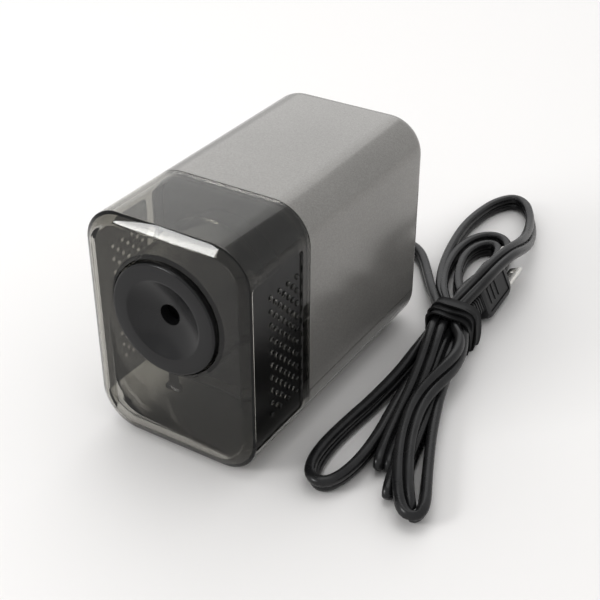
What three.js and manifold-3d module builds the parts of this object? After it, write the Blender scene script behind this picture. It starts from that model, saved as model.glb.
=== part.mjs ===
// Electric pencil sharpener: silver housing, smoked shavings receptacle, helical cutter, hank of flat cord.
// Millimetres, +Z up. The front faces -Y, +X is to the right, and the floor is z = 0.
// The body's box is centred on the origin in X and Y; the cord and its plug lie to the right.

import * as THREE from "three";
import { mergeVertices } from "three/addons/utils/BufferGeometryUtils.js";
import Module from "manifold-3d";

const wasm = await Module();
wasm.setup();

// ---- driving dimensions ----
const WIDTH = 76;            // across the housing
const SHELL_HEIGHT = 102;    // housing without its feet
const SHELL_DEPTH = 140;     // receptacle face to back wall
const FOOT_HEIGHT = 2;       // how far the feet hold the housing off the floor
const GUIDE_PROUD = 2;       // how far the pencil guide stands in front of the receptacle
const CORNER = 16.3;         // radius of the long edges
const REAR_EDGE = 7;         // rounding of the edge round the back wall
const CAP_LENGTH = 42.4;     // receptacle face to the seam
const WALL = 2.4;            // housing wall
const CAP_WALL = 2.2;        // receptacle wall
const GAP = 0.3;             // clearance between pieces that touch
const SPLIT = 20;            // height of the joint between upper housing and base tray
const PENCIL_HEIGHT = 66;    // height of the pencil's axis

const BACK = (SHELL_DEPTH + GUIDE_PROUD) / 2;
const FRONT = BACK - SHELL_DEPTH;
const SEAM = FRONT + CAP_LENGTH;
const BASE = FOOT_HEIGHT;
const TOP = BASE + SHELL_HEIGHT;
const CORNER_STEPS = 7;
const FAR = 200;

// ---- gears: module in mm and teeth ----
const DRIVE_MODULE = 1.0;
const DRIVE_TEETH = 34;
const IDLER_SMALL_TEETH = 12;
const MOTOR_MODULE = 0.8;
const IDLER_BIG_TEETH = 45;
const PINION_TEETH = 10;
const RING_MODULE = 0.7;
const RING_TEETH = 38;
const PLANET_TEETH = 12;

// ---- axes of the gear train, seen along Y ----
const DRIVE_DISTANCE = DRIVE_MODULE * (DRIVE_TEETH + IDLER_SMALL_TEETH) / 2;
const MOTOR_DISTANCE = MOTOR_MODULE * (IDLER_BIG_TEETH + PINION_TEETH) / 2;
const IDLER_X = -14;
const IDLER_Z = PENCIL_HEIGHT - Math.sqrt(DRIVE_DISTANCE ** 2 - IDLER_X ** 2);
const MOTOR_X = 4;
const MOTOR_Z = IDLER_Z - Math.sqrt(MOTOR_DISTANCE ** 2 - (MOTOR_X - IDLER_X) ** 2);
const ORBIT = RING_MODULE * (RING_TEETH - PLANET_TEETH) / 2;   // cutter axis to pencil axis, at the ring gear
const CUTTER_TILT = THREE.MathUtils.degToRad(9.7);             // half the angle of the pencil's cone
const PLANET_Y = FRONT + 9.75;

// ---- materials ----
function finish(color, roughness, metalness, opacity = 1) {
  return new THREE.MeshStandardMaterial({
    color, roughness, metalness, opacity, transparent: opacity < 1,
  });
}

const silverPaint = finish(0x97948f, 0.42, 0.55);
const smokedPlastic = finish(0x33363a, 0.08, 0.0, 0.6);
const blackPlastic = finish(0x1b1c1d, 0.45, 0.0);
const nylon = finish(0xd9d5c8, 0.5, 0.0);
const steel = finish(0xb4b6b8, 0.3, 1.0);
const castZinc = finish(0x8f9193, 0.5, 0.9);
const lamination = finish(0x5b5d60, 0.5, 0.9);
const copperWire = finish(0xb06a32, 0.4, 0.8);
const bronze = finish(0xa57c45, 0.5, 0.8);
const rubber = finish(0x1a1a1a, 0.85, 0.0);
const cordJacket = finish(0x1d1e20, 0.5, 0.0);

// ---- solids ----
function toSolid(geometry) {
  geometry.deleteAttribute("normal");
  geometry.deleteAttribute("uv");
  const merged = mergeVertices(geometry, 1e-4);
  const index = merged.index.array;
  const triangles = [];
  for (let i = 0; i < index.length; i += 3) {
    const [a, b, c] = [index[i], index[i + 1], index[i + 2]];
    if (a !== b && b !== c && a !== c) triangles.push(a, b, c);
  }
  return new wasm.Manifold(new wasm.Mesh({
    numProp: 3,
    vertProperties: Float32Array.from(merged.attributes.position.array),
    triVerts: Uint32Array.from(triangles),
  }));
}

function toGeometry(solid) {
  const mesh = solid.getMesh();
  const geometry = new THREE.BufferGeometry();
  geometry.setAttribute("position", new THREE.BufferAttribute(mesh.vertProperties, 3));
  geometry.setIndex(new THREE.BufferAttribute(mesh.triVerts, 1));
  geometry.computeVertexNormals();
  return geometry;
}

function box(x0, x1, y0, y1, z0, z1) {
  const geometry = new THREE.BoxGeometry(x1 - x0, y1 - y0, z1 - z0);
  geometry.translate((x0 + x1) / 2, (y0 + y1) / 2, (z0 + z1) / 2);
  return toSolid(geometry);
}

// A round bar along Y; a second radius makes it a cone.
function rod(x, z, radius, y0, y1, sides = 24, backRadius = radius) {
  const geometry = new THREE.CylinderGeometry(backRadius, radius, y1 - y0, sides);
  geometry.translate(x, (y0 + y1) / 2, z);
  return toSolid(geometry);
}

// A round bar along Z.
function post(x, y, radius, z0, z1, sides = 20, topRadius = radius) {
  const geometry = new THREE.CylinderGeometry(topRadius, radius, z1 - z0, sides);
  geometry.rotateX(Math.PI / 2);
  geometry.translate(x, y, (z0 + z1) / 2);
  return toSolid(geometry);
}

// A profile of [radius, y] points turned about the Y axis through (x, z). It starts and ends on the axis
// or closes on itself.
function turned(profile, x, z, sides = 32) {
  const points = profile.map(([radius, y]) => new THREE.Vector2(radius, y));
  const geometry = new THREE.LatheGeometry(points, sides);
  geometry.translate(x, 0, z);
  return toSolid(geometry);
}

// A flat shape drawn in X and Z, with thickness along Y.
function slab(shape, y0, y1, curveSegments = 8) {
  const geometry = new THREE.ExtrudeGeometry(shape, { depth: y1 - y0, bevelEnabled: false, curveSegments });
  geometry.rotateX(Math.PI / 2);
  geometry.translate(0, y1, 0);
  return toSolid(geometry);
}

// One rounded-rectangle section of the body: inset from the outer skin, with an extra inset at the bottom.
function section(y, inset, bottomInset = inset) {
  const halfWidth = WIDTH / 2 - inset;
  const low = BASE + bottomInset;
  const high = TOP - inset;
  const radius = CORNER - inset;
  const corners = [
    [halfWidth - radius, high - radius, 0],
    [radius - halfWidth, high - radius, 90],
    [radius - halfWidth, low + radius, 180],
    [halfWidth - radius, low + radius, 270],
  ];
  const points = [];
  for (const [x, z, start] of corners) {
    for (let i = 0; i <= CORNER_STEPS; i += 1) {
      const angle = THREE.MathUtils.degToRad(start + 90 * i / CORNER_STEPS);
      points.push([x + radius * Math.cos(angle), y, z + radius * Math.sin(angle)]);
    }
  }
  return points;
}

// A closed body through sections of equal point count, in order of increasing y.
function loft(sections) {
  const count = sections[0].length;
  const positions = sections.flat(2);
  const index = [];
  for (let ring = 0; ring + 1 < sections.length; ring += 1) {
    for (let i = 0; i < count; i += 1) {
      const a = ring * count + i;
      const b = ring * count + (i + 1) % count;
      index.push(a, a + count, b, b, a + count, b + count);
    }
  }
  const last = (sections.length - 1) * count;
  for (let i = 1; i + 1 < count; i += 1) {
    index.push(0, i, i + 1);
    index.push(last, last + i + 1, last + i);
  }
  const geometry = new THREE.BufferGeometry();
  geometry.setAttribute("position", new THREE.Float32BufferAttribute(positions, 3));
  geometry.setIndex(index);
  geometry.setAttribute("normal", new THREE.Float32BufferAttribute(positions.map(() => 0), 3));
  const noUv = new Array(positions.length / 3 * 2).fill(0);
  geometry.setAttribute("uv", new THREE.Float32BufferAttribute(noUv, 2));
  return toSolid(geometry);
}

// Sections of the skin at one depth inside it, rounded off at the back wall.
function skinSections(y0, inset) {
  const rounding = REAR_EDGE - inset;
  const sections = [section(y0, inset)];
  for (let i = 0; i <= 4; i += 1) {
    const angle = Math.PI / 2 * i / 4;
    const y = BACK - REAR_EDGE + rounding * Math.sin(angle);
    sections.push(section(y, inset + rounding * (1 - Math.cos(angle))));
  }
  return sections;
}

function gearShape(teeth, module, phase, backlash = 0.3) {
  const pitch = module * teeth / 2;
  const slope = Math.tan(THREE.MathUtils.degToRad(20));
  const addendum = 0.85 * module;
  const dedendum = 1.25 * module;
  const halfTooth = Math.PI * module / 4 - backlash / 2;
  const halfTip = (halfTooth - slope * addendum) / (pitch + addendum);
  const halfRoot = (halfTooth + slope * dedendum) / (pitch - dedendum);
  const shape = new THREE.Shape();
  for (let i = 0; i < teeth; i += 1) {
    const centre = phase + 2 * Math.PI * i / teeth;
    const corners = [
      [pitch - dedendum, centre - halfRoot],
      [pitch + addendum, centre - halfTip],
      [pitch + addendum, centre + halfTip],
      [pitch - dedendum, centre + halfRoot],
    ];
    for (const [radius, angle] of corners) {
      const x = radius * Math.cos(angle);
      const z = radius * Math.sin(angle);
      if (shape.curves.length === 0 && shape.currentPoint.length() === 0) shape.moveTo(x, z);
      else shape.lineTo(x, z);
    }
  }
  shape.closePath();
  return shape;
}

function gear(teeth, module, x, z, y0, y1, phase) {
  return slab(gearShape(teeth, module, phase), y0, y1).translate([x, 0, z]);
}

const assembly = new THREE.Group();

function add(name, solid, material) {
  const mesh = new THREE.Mesh(toGeometry(solid), material);
  mesh.name = name;
  assembly.add(mesh);
  return mesh;
}

// ---- housing: upper shell and base tray, moulded to one outline ----
const spigotInset = CAP_WALL + 0.35;
const spigotInner = spigotInset + 1.8;
const spigotDepth = 3;
const spigotRoot = 6;
const outerSkin = loft(skinSections(SEAM + GAP, 0))
  .add(loft([section(SEAM - spigotDepth, spigotInset), section(SEAM + spigotRoot, spigotInset)]));
const innerSkin = loft([section(SEAM - 10, spigotInner), section(SEAM + spigotRoot + 1, spigotInner)])
  .add(loft(skinSections(SEAM + spigotRoot, WALL)));
const shell = outerSkin.subtract(innerSkin);

const CORD_EXIT_X = -16;
const CORD_EXIT_Z = 18;
const cordHole = rod(CORD_EXIT_X, CORD_EXIT_Z, 5, BACK - 10, BACK + 10);

const bossX = 25;
const bossRadius = 3.4;
const bossPlaces = [
  [-bossX, SEAM + 9.6], [bossX, SEAM + 9.6],
  [-bossX, BACK - 9], [bossX, BACK - 9],
];
const bossTop = SPLIT + 22;

let upperShell = shell;
let tray = shell;
for (const [x, y] of bossPlaces) {
  const side = Math.sign(x);
  const ribFrom = Math.min(x, side * (WIDTH / 2 - 1));
  const ribTo = Math.max(x, side * (WIDTH / 2 - 1));
  upperShell = upperShell
    .add(post(x, y, bossRadius, SPLIT, bossTop))
    .add(box(ribFrom, ribTo, y - 1, y + 1, SPLIT, bossTop))
    .subtract(post(x, y, 1.8, SPLIT - 1, bossTop - 6));
  tray = tray.add(post(x, y, bossRadius + 0.8, BASE + 0.5, SPLIT).intersect(outerSkin));
}
upperShell = upperShell.subtract(box(-FAR, FAR, -FAR, FAR, -FAR, SPLIT)).subtract(cordHole);
for (const [x, y] of bossPlaces) {
  tray = tray
    .subtract(post(x, y, 2, 0, SPLIT + 1))
    .subtract(post(x, y, 3.3, 0, SPLIT - 8));
}
const FOOT_X = 15;
const footPlaces = [
  ["front_left", -FOOT_X, SEAM + 9.6], ["front_right", FOOT_X, SEAM + 9.6],
  ["rear_left", -FOOT_X, BACK - 12], ["rear_right", FOOT_X, BACK - 12],
];
const footRecess = 1;
for (const [, x, y] of footPlaces) {
  tray = tray.subtract(post(x, y, 5.6, 0, BASE + footRecess));
}
tray = tray.subtract(box(-FAR, FAR, -FAR, FAR, SPLIT - GAP, FAR)).subtract(cordHole);
for (const y of [SEAM + 30, SEAM + 38, SEAM + 46]) {
  tray = tray.subtract(box(-12, 12, y, y + 3, BASE - 1, BASE + 5));   // cooling slots under the motor
}
add("rear_housing", upperShell, silverPaint);
add("base_tray", tray, silverPaint);

for (const [place, x, y] of footPlaces) {
  add(`foot_${place}`, post(x, y, 4.6, 0, BASE + footRecess - GAP, 20, 5.3), rubber);
}

bossPlaces.forEach(([x, y], i) => {
  const head = post(x, y, 2.9, SPLIT - 10.4, SPLIT - 8 - GAP);
  const shank = post(x, y, 1.5, SPLIT - 8.5, bossTop - 8);
  const slot = box(x - 2, x + 2, y - 0.4, y + 0.4, SPLIT - 11, SPLIT - 9.6);
  add(`base_screw_${i + 1}`, head.add(shank).subtract(slot), steel);
});

// ---- front frame: bulkhead plate with the cutter tube that reaches forward through the receptacle ----
const PLATE_FRONT = SEAM + 1.6;
const PLATE_BACK = PLATE_FRONT + 2.5;
const TUBE_FRONT = FRONT + 4.2;
const TUBE_OUTER = 24;
const TUBE_INNER = 21.6;
const INTERLOCK_X = 27.5;
const INTERLOCK_Z = 56;
const plateInset = spigotInner + GAP;
const frontFrame = loft([section(PLATE_FRONT, plateInset), section(PLATE_BACK, plateInset)])
  .add(rod(0, PENCIL_HEIGHT, TUBE_OUTER, TUBE_FRONT, PLATE_FRONT + 1, 48))
  .subtract(rod(0, PENCIL_HEIGHT, TUBE_INNER, TUBE_FRONT - 1, PLATE_FRONT, 48))
  .add(rod(0, PENCIL_HEIGHT, 10, PLATE_FRONT + 1, PLATE_BACK + 1.5))
  .subtract(rod(0, PENCIL_HEIGHT, 7.3, TUBE_FRONT, PLATE_BACK + 5))
  .subtract(box(-14, 14, FRONT + 15, PLATE_FRONT - 4, PENCIL_HEIGHT - 30, PENCIL_HEIGHT - 14))
  .subtract(rod(INTERLOCK_X, INTERLOCK_Z, 2.2, PLATE_FRONT - 1, PLATE_BACK + 1))
  .subtract(rod(IDLER_X, IDLER_Z, 1.9, PLATE_BACK - 1.5, PLATE_BACK + 1));
add("front_frame", frontFrame, blackPlastic);

const GUIDE_FACE = FRONT - GUIDE_PROUD;
const GUIDE_RADIUS = 23.9;
const DISH_RADIUS = 17.1;
const HOLE_RADIUS = 4.4;
const dishBottom = GUIDE_FACE + 4.7;
add("pencil_guide", turned([
  [HOLE_RADIUS, dishBottom], [10, dishBottom - 1.9], [DISH_RADIUS - 2, dishBottom - 3.9],
  [DISH_RADIUS, GUIDE_FACE], [GUIDE_RADIUS - 0.5, GUIDE_FACE], [GUIDE_RADIUS, GUIDE_FACE + 0.5],
  [GUIDE_RADIUS, TUBE_FRONT - GAP], [TUBE_INNER - GAP, TUBE_FRONT - GAP], [TUBE_INNER - GAP, TUBE_FRONT + 2],
  [TUBE_INNER - 2, TUBE_FRONT + 2], [TUBE_INNER - 2, TUBE_FRONT - 1], [7, TUBE_FRONT + 0.8],
  [7, TUBE_FRONT + 3.2], [HOLE_RADIUS, TUBE_FRONT + 3.2], [HOLE_RADIUS, dishBottom],
], 0, PENCIL_HEIGHT, 48), blackPlastic);

const ringBody = rod(0, PENCIL_HEIGHT, TUBE_INNER - GAP, PLANET_Y - 1.7, PLANET_Y + 1.7, 48);
const ringTeeth = new THREE.Shape();
const ringPitch = RING_MODULE * RING_TEETH / 2;
for (let i = 0; i < RING_TEETH; i += 1) {
  const centre = 2 * Math.PI * (i + 0.5) / RING_TEETH;
  const root = ringPitch + 1.3 * RING_MODULE;
  const tip = ringPitch - 0.85 * RING_MODULE;
  for (const [radius, half] of [[root, 0.052], [tip, 0.014]]) {
    const angle = centre - half;
    if (i === 0 && radius === root) ringTeeth.moveTo(radius * Math.cos(angle), radius * Math.sin(angle));
    else ringTeeth.lineTo(radius * Math.cos(angle), radius * Math.sin(angle));
  }
  for (const [radius, half] of [[tip, 0.014], [root, 0.052]]) {
    ringTeeth.lineTo(radius * Math.cos(centre + half), radius * Math.sin(centre + half));
  }
}
ringTeeth.closePath();
add("ring_gear", ringBody.subtract(
  slab(ringTeeth, PLANET_Y - 3, PLANET_Y + 3).translate([0, 0, PENCIL_HEIGHT]),
), nylon);

// ---- cutter carrier: spool that turns about the pencil, with the cutter lying along the pencil's cone ----
// Cutter pieces are made along +Y at the origin, then tilted and moved out to the orbit radius.
function atCutter(solid) {
  const degrees = THREE.MathUtils.radToDeg(CUTTER_TILT);
  return solid.rotate([0, 0, degrees]).translate([ORBIT, PLANET_Y, PENCIL_HEIGHT]);
}

const CARRIER_FRONT = PLANET_Y + 2.85;
const CARRIER_BACK = PLATE_FRONT - 4.5;
const CARRIER_RADIUS = 19.5;
const SHAFT_END = PLATE_BACK + 9.9;
const cutterFrom = 5;
const cutterTo = 25.4;
const cutterRadius = 4;
const pocket = atCutter(
  rod(0, 0, cutterRadius + 0.5, cutterFrom - GAP, cutterTo + GAP)
    .add(box(0, 25, cutterFrom - GAP, cutterTo + GAP, -cutterRadius - 0.5, cutterRadius + 0.5)),
);
const spoolWaist = rod(0, PENCIL_HEIGHT, 30, CARRIER_FRONT + 3.4, CARRIER_BACK - 4.5)
  .subtract(rod(0, PENCIL_HEIGHT, 12, CARRIER_FRONT, CARRIER_BACK));
const pencilCone = rod(0, PENCIL_HEIGHT, 4.6, CARRIER_FRONT - 1, CARRIER_FRONT + 22, 24, 0.9);
const carrier = rod(0, PENCIL_HEIGHT, CARRIER_RADIUS, CARRIER_FRONT, CARRIER_BACK, 40)
  .add(rod(0, PENCIL_HEIGHT, 4.7, CARRIER_BACK - 1, SHAFT_END))
  .subtract(spoolWaist)
  .subtract(pencilCone)
  .subtract(pocket)
  .subtract(rod(0, PENCIL_HEIGHT, 1.9, CARRIER_FRONT + 20, SHAFT_END + 1))
  .subtract(atCutter(rod(0, 0, 2.5, 0, cutterFrom)))
  .subtract(atCutter(rod(0, 0, 1.5, 0, 29.5)));
add("cutter_carrier", carrier, castZinc);

add("cutter_axle", atCutter(rod(0, 0, 1.15, -2.4, 29, 16)), steel);
add("cutter_pinion", atCutter(
  slab(gearShape(PLANET_TEETH, RING_MODULE, 0, 0.25), -1.2, 1.2).subtract(rod(0, 0, 1.45, -3, 3, 16)),
), steel);

const flutes = 9;
const fluteShape = new THREE.Shape();
for (let i = 0; i < flutes; i += 1) {
  const edge = 2 * Math.PI * i / flutes;
  const gullet = edge + 0.62 * 2 * Math.PI / flutes;
  const [ex, ez] = [cutterRadius * Math.cos(edge), cutterRadius * Math.sin(edge)];
  if (i === 0) fluteShape.moveTo(ex, ez);
  else fluteShape.lineTo(ex, ez);
  fluteShape.lineTo(0.76 * cutterRadius * Math.cos(gullet), 0.76 * cutterRadius * Math.sin(gullet));
}
fluteShape.closePath();
const blank = new THREE.ExtrudeGeometry(fluteShape, {
  depth: cutterTo - cutterFrom, steps: 14, bevelEnabled: false,
});
const HELIX_TURN = 1.9;
const spots = blank.attributes.position;
for (let i = 0; i < spots.count; i += 1) {
  const along = spots.getZ(i) / (cutterTo - cutterFrom);
  const turn = HELIX_TURN * along;
  const [x, y] = [spots.getX(i), spots.getY(i)];
  spots.setX(i, x * Math.cos(turn) - y * Math.sin(turn));
  spots.setY(i, x * Math.sin(turn) + y * Math.cos(turn));
}
blank.rotateX(Math.PI / 2);
blank.translate(0, cutterTo, 0);
const cutterBody = toSolid(blank)
  .add(rod(0, 0, 2.1, 1.2 + GAP, cutterFrom + 1, 16))
  .subtract(rod(0, 0, 1.45, 0, 30, 16));
add("helical_cutter", atCutter(cutterBody), steel);

add("carrier_bush", turned([
  [5, PLATE_FRONT - 1.2], [9.5, PLATE_FRONT - 1.2], [9.5, PLATE_FRONT - GAP],
  [7, PLATE_FRONT - GAP], [7, PLATE_BACK + 1.8], [5, PLATE_BACK + 1.8], [5, PLATE_FRONT - 1.2],
], 0, PENCIL_HEIGHT), bronze);

const DRIVE_FRONT = PLATE_BACK + 3;
const toIdler = Math.atan2(IDLER_Z - PENCIL_HEIGHT, IDLER_X);
add("drive_gear", gear(DRIVE_TEETH, DRIVE_MODULE, 0, PENCIL_HEIGHT, DRIVE_FRONT, DRIVE_FRONT + 5, toIdler)
  .add(rod(0, PENCIL_HEIGHT, 7.5, DRIVE_FRONT - 0.5, DRIVE_FRONT + 5.5))
  .subtract(rod(0, PENCIL_HEIGHT, 5, -FAR, FAR)), nylon);
add("carrier_clip", turned([
  [5, SHAFT_END - 0.9], [6.6, SHAFT_END - 0.9], [6.6, SHAFT_END - 0.2],
  [5, SHAFT_END - 0.2], [5, SHAFT_END - 0.9],
], 0, PENCIL_HEIGHT, 24), steel);

// ---- idler: small and big gear moulded together, on a fixed pin ----
const toMotor = Math.atan2(MOTOR_Z - IDLER_Z, MOTOR_X - IDLER_X);
const BIG_FRONT = SHAFT_END + 0.7;
const GEAR_PLATE = BIG_FRONT + 6.5;
const idler = gear(IDLER_SMALL_TEETH, DRIVE_MODULE, IDLER_X, IDLER_Z, DRIVE_FRONT - 0.7, BIG_FRONT - 0.7,
  toIdler + Math.PI + Math.PI / IDLER_SMALL_TEETH)
  .add(gear(IDLER_BIG_TEETH, MOTOR_MODULE, IDLER_X, IDLER_Z, BIG_FRONT, BIG_FRONT + 4, toMotor))
  .add(rod(IDLER_X, IDLER_Z, 4.6, BIG_FRONT - 1, BIG_FRONT + 5))
  .subtract(rod(IDLER_X, IDLER_Z, 1.9, -FAR, FAR, 16));
add("idler_gear", idler, nylon);
add("idler_pin", rod(IDLER_X, IDLER_Z, 1.6, PLATE_BACK - 1.2, GEAR_PLATE + 1.8, 16), steel);

// ---- gear plate: closes the gear train and carries the motor ----
function roundedPlate(x0, x1, z0, z1, radius) {
  const shape = new THREE.Shape();
  shape.moveTo(x0 + radius, z0);
  shape.lineTo(x1 - radius, z0);
  shape.absarc(x1 - radius, z0 + radius, radius, -Math.PI / 2, 0);
  shape.lineTo(x1, z1 - radius);
  shape.absarc(x1 - radius, z1 - radius, radius, 0, Math.PI / 2);
  shape.lineTo(x0 + radius, z1);
  shape.absarc(x0 + radius, z1 - radius, radius, Math.PI / 2, Math.PI);
  shape.lineTo(x0, z0 + radius);
  shape.absarc(x0 + radius, z0 + radius, radius, Math.PI, 1.5 * Math.PI);
  return shape;
}
const screwHeights = [MOTOR_Z - 16.9, MOTOR_Z + 16.9];
let gearPlate = slab(roundedPlate(-31, 31, 11, 96, 11), GEAR_PLATE, GEAR_PLATE + 1.5, 4)
  .subtract(rod(0, PENCIL_HEIGHT, 2.3, -FAR, FAR))
  .subtract(rod(MOTOR_X, MOTOR_Z, 3, -FAR, FAR))
  .subtract(rod(IDLER_X, IDLER_Z, 1.9, -FAR, FAR, 16));
for (const z of screwHeights) {
  gearPlate = gearPlate.subtract(rod(MOTOR_X, z, 1.7, -FAR, FAR, 16));
}
add("gear_plate", gearPlate, steel);
const pillarPlaces = [[-26, 84], [26, 84], [12, 17]];
pillarPlaces.forEach(([x, z], i) => {
  add(`frame_pillar_${i + 1}`, rod(x, z, 3, PLATE_BACK + GAP, GEAR_PLATE - GAP, 16), bronze);
});

// ---- shaded-pole motor ----
const STACK_FRONT = GEAR_PLATE + 17;
const STACK_BACK = STACK_FRONT + 16;
const BORE = 13.3;
let stack = slab(roundedPlate(MOTOR_X - 30.5, MOTOR_X + 19, MOTOR_Z - 20.1, MOTOR_Z + 20.4, 2),
  STACK_FRONT, STACK_BACK, 2)
  .subtract(rod(MOTOR_X, MOTOR_Z, BORE, -FAR, FAR, 40))
  .subtract(box(MOTOR_X - 23.5, MOTOR_X - 16.5, -FAR, FAR, MOTOR_Z - 13.1, MOTOR_Z + 13.9));
for (const z of screwHeights) {
  stack = stack.subtract(rod(MOTOR_X, z, 1.8, -FAR, FAR, 16));
}
add("motor_stator", stack, lamination);

const COIL_WIDE = 6.2;
const coil = box(MOTOR_X - 37, MOTOR_X - 16.8, STACK_FRONT - COIL_WIDE, STACK_BACK + COIL_WIDE,
  MOTOR_Z - 12.6, MOTOR_Z + 13.4)
  .subtract(box(MOTOR_X - 30.8, MOTOR_X - 23.2, STACK_FRONT - GAP, STACK_BACK + GAP, -FAR, FAR));
add("motor_coil", coil, copperWire);
const coilFront = STACK_FRONT - COIL_WIDE - GAP;
const cutout = box(MOTOR_X - 32, MOTOR_X - 20, coilFront - 3.5, coilFront, MOTOR_Z - 5, MOTOR_Z + 5);
add("thermal_cutout", cutout, blackPlastic);

const SHAFT_RADIUS = 1.6;
add("motor_rotor", rod(MOTOR_X, MOTOR_Z, BORE - 0.5, STACK_FRONT, STACK_BACK, 32)
  .subtract(rod(MOTOR_X, MOTOR_Z, SHAFT_RADIUS + GAP, -FAR, FAR, 16)), lamination);
const FAN_FRONT = STACK_BACK + 8.5;
add("motor_shaft", rod(MOTOR_X, MOTOR_Z, SHAFT_RADIUS, BIG_FRONT - 0.8, FAN_FRONT + 8, 16), steel);
add("motor_pinion", gear(PINION_TEETH, MOTOR_MODULE, MOTOR_X, MOTOR_Z, BIG_FRONT - 0.5, BIG_FRONT + 4.5,
  toMotor + Math.PI + Math.PI / PINION_TEETH)
  .subtract(rod(MOTOR_X, MOTOR_Z, SHAFT_RADIUS + GAP, -FAR, FAR, 16)), steel);

// A bridge over the rotor: crossbar with a bush seat and two legs down to the stator stack.
function motorBridge(barFront, barBack, legFront, legBack) {
  const low = MOTOR_Z - 19.6;
  const high = MOTOR_Z + 19.9;
  let bridge = box(MOTOR_X - 10, MOTOR_X + 10, barFront, barBack, low, high)
    .add(box(MOTOR_X - 8, MOTOR_X + 8, legFront, legBack, low, low + 5.4))
    .add(box(MOTOR_X - 8, MOTOR_X + 8, legFront, legBack, high - 5.7, high))
    .subtract(rod(MOTOR_X, MOTOR_Z, 4.3, -FAR, FAR));
  for (const z of screwHeights) {
    bridge = bridge.subtract(rod(MOTOR_X, z, 1.8, -FAR, FAR, 16));
  }
  return bridge;
}
const FRONT_BAR = STACK_FRONT - 6.5;
const REAR_BAR = STACK_BACK + 4;
const BAR = 2.5;
const frontLegs = FRONT_BAR + 2;
add("motor_front_bridge", motorBridge(FRONT_BAR, FRONT_BAR + BAR, frontLegs, STACK_FRONT - GAP), castZinc);
add("motor_rear_bridge", motorBridge(REAR_BAR, REAR_BAR + BAR, STACK_BACK + GAP, REAR_BAR + 0.5), castZinc);
for (const [name, y] of [["motor_front_bush", FRONT_BAR], ["motor_rear_bush", REAR_BAR]]) {
  const bush = rod(MOTOR_X, MOTOR_Z, 4, y - 0.5, y + 3).subtract(rod(MOTOR_X, MOTOR_Z, 1.9, -FAR, FAR, 16));
  add(name, bush, bronze);
}
screwHeights.forEach((z, i) => {
  const end = REAR_BAR + BAR + GAP;
  const screw = rod(MOTOR_X, z, 1.4, GEAR_PLATE - 2.5, end + 0.5, 16)
    .add(rod(MOTOR_X, z, 2.8, end, end + 2.2, 16))
    .subtract(box(MOTOR_X - 3, MOTOR_X + 3, end + 1.4, end + 3, z - 0.4, z + 0.4));
  add(`motor_screw_${i + 1}`, screw, steel);
  add(`motor_spacer_${i + 1}`, rod(MOTOR_X, z, 3.2, GEAR_PLATE + 1.5 + GAP, FRONT_BAR - GAP, 16)
    .subtract(rod(MOTOR_X, z, 1.7, -FAR, FAR, 16)), bronze);
});

let fan = rod(MOTOR_X, MOTOR_Z, 4.5, FAN_FRONT, FAN_FRONT + 7);
for (let i = 0; i < 6; i += 1) {
  const blade = box(3.5, 18.5, -3, 3, -0.7, 0.7).rotate([35, 0, 0]).rotate([0, 60 * i, 0]);
  fan = fan.add(blade.translate([MOTOR_X, FAN_FRONT + 3.5, MOTOR_Z]));
}
add("motor_fan", fan.subtract(rod(MOTOR_X, MOTOR_Z, SHAFT_RADIUS + GAP, -FAR, FAR, 16)), blackPlastic);

// ---- start switch: the pencil's point pushes the plunger back against the lever ----
const PLUNGER_END = GEAR_PLATE + 2;
const LEVER_PIVOT_Z = 92;
add("start_plunger", rod(0, PENCIL_HEIGHT, 1.45, CARRIER_FRONT + 23.2, PLUNGER_END, 16), nylon);
const leverFront = PLUNGER_END + GAP;
const leverLow = PENCIL_HEIGHT - 3;
add("start_lever", box(-2.4, 2.4, leverFront, leverFront + 0.6, leverLow, LEVER_PIVOT_Z + 0.8), steel);
const SWITCH_FRONT = PLUNGER_END + 4.4;
add("start_switch", box(-3.2, 3.2, SWITCH_FRONT, SWITCH_FRONT + 9, 75, 96)
  .add(box(-3.2, 3.2, GEAR_PLATE + 1.5 + GAP, SWITCH_FRONT + 1, LEVER_PIVOT_Z + 1.2, 96))
  .add(box(-1, 1, SWITCH_FRONT - 2.8, SWITCH_FRONT + 1, 86, 88)), blackPlastic);

// ---- interlock: the receptacle's tab holds this plunger in while the receptacle is on ----
const INTERLOCK_TIP = PLATE_FRONT - 4.7;
add("interlock_plunger", rod(INTERLOCK_X, INTERLOCK_Z, 1.8, INTERLOCK_TIP, PLATE_BACK + 3.4, 20)
  .add(rod(INTERLOCK_X, INTERLOCK_Z, 2.8, PLATE_BACK + 2.8, PLATE_BACK + 3.4, 20)), nylon);
add("interlock_switch", box(INTERLOCK_X - 3.3, INTERLOCK_X + 3.3, PLATE_BACK + 3.8, PLATE_BACK + 13.3,
  INTERLOCK_Z - 11, INTERLOCK_Z + 9), blackPlastic);

// ---- receptacle: smoked shell that slides forward off the spigot, over the guide and the cutter tube ----
const BEVEL_DEPTH = 2.7;
const BEVEL_INSET = 4.1;
const BEVEL_BOTTOM = 5.7;
const capOuter = loft([
  section(FRONT, BEVEL_INSET, BEVEL_BOTTOM), section(FRONT + BEVEL_DEPTH, 0), section(SEAM, 0),
]);
const capInner = loft([
  section(FRONT + CAP_WALL, BEVEL_INSET + 1.2, BEVEL_BOTTOM + 1.2),
  section(FRONT + BEVEL_DEPTH + 1.4, CAP_WALL), section(SEAM + 1, CAP_WALL),
]);
const COLLAR_INNER = 24.5;
const COLLAR_OUTER = 26.4;
const COLLAR_BACK = FRONT + 32;
const collar = rod(0, PENCIL_HEIGHT, COLLAR_OUTER, FRONT + 1, COLLAR_BACK, 48)
  .subtract(box(-15, 15, FRONT + 9, COLLAR_BACK + 1, 0, PENCIL_HEIGHT - 10));
const tab = box(INTERLOCK_X - 3, WIDTH / 2 - 1, INTERLOCK_TIP - GAP - 3, INTERLOCK_TIP - GAP,
  INTERLOCK_Z - 3, INTERLOCK_Z + 3);
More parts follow.
